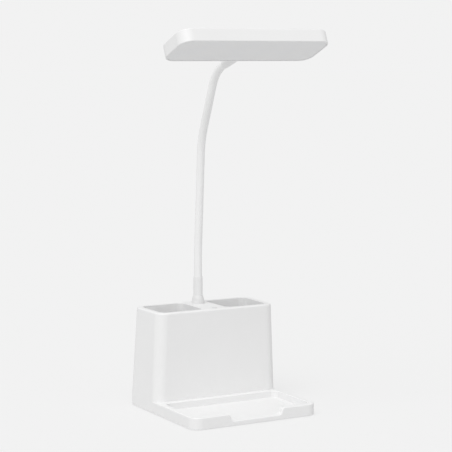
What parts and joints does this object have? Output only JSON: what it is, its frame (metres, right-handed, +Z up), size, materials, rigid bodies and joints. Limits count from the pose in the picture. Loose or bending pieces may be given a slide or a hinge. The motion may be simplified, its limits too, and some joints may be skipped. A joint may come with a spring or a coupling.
{
  "type": "desk lamp",
  "caption": "Desk lamp with a flat oblong head on a bendable neck, rising from a square base with pen cups and a shallow notched tray.",
  "frame": {"origin": "bottom centre of the whole lamp, on the table", "axes": "+Z up, +Y to the back (the neck's side), X across; the tray and its notch face -Y"},
  "size_m": [0.1634, 0.1439, 0.3796],
  "materials": {
    "white_shell": "white, satin to matte moulded plastic",
    "neck_sleeve": "white, smooth soft sleeve",
    "diffuser": "milky, translucent",
    "foot_rubber": "grey, matte",
    "button": "light grey, satin",
    "inner_plastic": "dark grey, as moulded",
    "steel": "zinc plated",
    "cell_wrap": "blue shrink wrap",
    "board": "green circuit board",
    "light_board": "white circuit board",
    "chip": "yellow light chips",
    "lead": "black insulated wire"
  },
  "bodies": {
    "base": {"housing": "white_shell", "bottom_cover": "white_shell", "cover_screws": "steel", "ballast_plate": "steel", "inner_frame": "inner_plastic", "battery_cell": "cell_wrap", "control_board": "board", "control_board_screws": "steel", "charging_socket": "steel", "lead_connector": "inner_plastic", "lamp_lead": "lead", "button_switch": "inner_plastic", "button_board": "board", "button_board_screws": "steel", "neck_ferrule": "steel", "neck_washer": "steel", "neck_nut": "steel", "bell_collar": "white_shell", "neck_cuff": "white_shell", "neck_root": "neck_sleeve", "neck_root_core": "steel", "foot_front_left": "foot_rubber", "foot_front_right": "foot_rubber", "foot_back_left": "foot_rubber", "foot_back_right": "foot_rubber"},
    "button": {"power_button": "button"},
    "neck_1": {"neck_section_1": "neck_sleeve", "neck_section_1_core": "steel"},
    "neck_2": {"neck_section_2": "neck_sleeve", "neck_section_2_core": "steel"},
    "neck_3": {"neck_section_3": "neck_sleeve", "neck_section_3_core": "steel"},
    "neck_4": {"neck_section_4": "neck_sleeve", "neck_section_4_core": "steel"},
    "head": {"head_collar": "white_shell", "head_stem": "steel", "head_shell": "white_shell", "diffuser": "diffuser", "light_board": "light_board", "light_chips": "chip", "light_board_screws": "steel", "stem_clamp": "inner_plastic", "clamp_screws": "steel"}
  },
  "joints": [
    {"name": "neck_sway", "type": "hinge", "parent": "base", "child": "neck_1", "pos_m": [0, 0.0521, 0.136], "axis": [0, 1, 0], "range_deg": [-25, 25]},
    {"name": "neck_lower_bend", "type": "hinge", "parent": "neck_1", "child": "neck_2", "pos_m": [0, 0.05038, 0.17926], "axis": [1, 0, 0], "range_deg": [-25, 25]},
    {"name": "neck_middle_bend", "type": "hinge", "parent": "neck_2", "child": "neck_3", "pos_m": [0, 0.04625, 0.24313], "axis": [1, 0, 0], "range_deg": [-25, 25]},
    {"name": "neck_upper_bend", "type": "hinge", "parent": "neck_3", "child": "neck_4", "pos_m": [0, 0.03232, 0.29774], "axis": [1, 0, 0], "range_deg": [-30, 25]},
    {"name": "head_turn", "type": "hinge", "parent": "neck_4", "child": "head", "pos_m": [0, -0.00247, 0.34557], "axis": [0, 0.3907, 0.9205], "range_deg": [-30, 30]},
    {"name": "power_press", "type": "slide", "parent": "base", "child": "button", "axis": [0, 0, -1], "range_m": [0, 0.0008], "stiffness_N_per_m": 400, "springref_m": -0.003}
  ]
}
